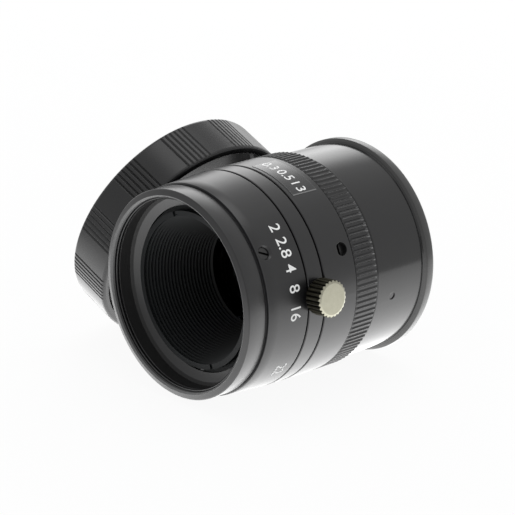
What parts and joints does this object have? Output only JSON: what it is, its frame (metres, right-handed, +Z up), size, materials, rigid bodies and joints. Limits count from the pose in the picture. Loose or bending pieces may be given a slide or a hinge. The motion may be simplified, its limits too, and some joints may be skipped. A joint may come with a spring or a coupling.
{
  "type": "machine vision lens",
  "caption": "Fixed-focal machine vision lens with a 1 inch camera thread, iris and focus rings, a knurled lock screw, a screwed rear cap and a loose push-on front cap.",
  "frame": {"origin": "centre of the flange plane that seats against the camera, on the optical axis", "axes": "+Y along the optical axis from the front of the lens to the camera, +Z up as the lens lies on its side, +X to the side of the lock screw"},
  "size_m": [0.0498, 0.0358, 0.0335],
  "materials": {
    "barrel_black": "satin black anodised aluminium",
    "matt_black": "matt black anodised aluminium",
    "inner_metal": "grey anodised aluminium",
    "bare_aluminium": "turned aluminium",
    "cam_steel": "turned steel",
    "blade_steel": "blackened spring steel",
    "dark_screws": "blackened steel",
    "nickel_screw": "nickel plated, knurled",
    "brass_pins": "turned brass",
    "coated_glass": "coated optical glass",
    "rear_cap_plastic": "smooth moulded black plastic",
    "front_cap_plastic": "moulded dark plastic with grip grooves",
    "scale_paint": "white paint in the engraved scales"
  },
  "bodies": {
    "mount": {"mount_body": "bare_aluminium", "front_cap": "front_cap_plastic"},
    "focus": {"focus_ring": "barrel_black", "focus_set_screws": "dark_screws"},
    "optics": {"front_barrel": "barrel_black", "barrel_grub_screws": "dark_screws", "baffle_cone": "matt_black", "front_cell": "matt_black", "front_element": "coated_glass", "front_spacer": "matt_black", "second_element": "coated_glass", "lens_tube": "inner_metal", "focus_pins": "brass_pins", "iris_base": "matt_black", "rear_cell": "matt_black", "third_element": "coated_glass", "fourth_element": "coated_glass", "rear_spacer": "matt_black", "fifth_element": "coated_glass", "rear_retaining_ring": "matt_black"},
    "iris": {"iris_ring": "barrel_black", "iris_cam": "cam_steel", "iris_drive_screw": "dark_screws"},
    "lock": {"lock_screw": "nickel_screw"},
    "cap_rear": {"rear_cap": "rear_cap_plastic"},
    "blade_1": {"iris_blade_1": "blade_steel"},
    "blade_2": {"iris_blade_2": "blade_steel"},
    "blade_3": {"iris_blade_3": "blade_steel"},
    "blade_4": {"iris_blade_4": "blade_steel"},
    "blade_5": {"iris_blade_5": "blade_steel"},
    "blade_6": {"iris_blade_6": "blade_steel"}
  },
  "joints": [
    {"name": "focus_turn", "type": "hinge", "parent": "mount", "child": "focus", "pos_m": [0, 0, 0], "axis": [0, 1, 0], "range_deg": [0, 90]},
    {"name": "optics_slide", "type": "slide", "parent": "mount", "child": "optics", "axis": [0, -1, 0], "range_m": [0, 0.0009]},
    {"name": "iris_turn", "type": "hinge", "parent": "optics", "child": "iris", "pos_m": [0, -0.01192, 0], "axis": [0, 1, 0], "range_deg": [0, 45]},
    {"name": "lock_turn", "type": "hinge", "parent": "iris", "child": "lock", "pos_m": [0.01545, -0.01192, 0.00122], "axis": [0.9969, 0, 0.0785], "range_deg": [0, 360]},
    {"name": "rear_cap_off", "type": "slide", "parent": "mount", "child": "cap_rear", "axis": [0, 1, 0], "range_m": [0, 0.02]},
    {"name": "blade_1_swing", "type": "hinge", "parent": "optics", "child": "blade_1", "pos_m": [0.0102, -0.0056, 0], "axis": [0, 1, 0], "range_deg": [0, 26.1]},
    {"name": "blade_2_swing", "type": "hinge", "parent": "optics", "child": "blade_2", "pos_m": [0.0051, -0.0056, -0.00883], "axis": [0, 1, 0], "range_deg": [0, 26.1]},
    {"name": "blade_3_swing", "type": "hinge", "parent": "optics", "child": "blade_3", "pos_m": [-0.0051, -0.0056, -0.00883], "axis": [0, 1, 0], "range_deg": [0, 26.1]},
    {"name": "blade_4_swing", "type": "hinge", "parent": "optics", "child": "blade_4", "pos_m": [-0.0102, -0.0056, 0], "axis": [0, 1, 0], "range_deg": [0, 26.1]},
    {"name": "blade_5_swing", "type": "hinge", "parent": "optics", "child": "blade_5", "pos_m": [-0.0051, -0.0056, 0.00883], "axis": [0, 1, 0], "range_deg": [0, 26.1]},
    {"name": "blade_6_swing", "type": "hinge", "parent": "optics", "child": "blade_6", "pos_m": [0.0051, -0.0056, 0.00883], "axis": [0, 1, 0], "range_deg": [0, 26.1]}
  ],
  "couplings": [
    {"joint": "focus_turn", "follows": "optics_slide", "rad_per_m": 1745.3},
    {"joint": "blade_1_swing", "follows": "iris_turn", "ratio": 0.57919},
    {"joint": "blade_2_swing", "follows": "iris_turn", "ratio": 0.57919},
    {"joint": "blade_3_swing", "follows": "iris_turn", "ratio": 0.57919},
    {"joint": "blade_4_swing", "follows": "iris_turn", "ratio": 0.57919},
    {"joint": "blade_5_swing", "follows": "iris_turn", "ratio": 0.57919},
    {"joint": "blade_6_swing", "follows": "iris_turn", "ratio": 0.57919}
  ]
}
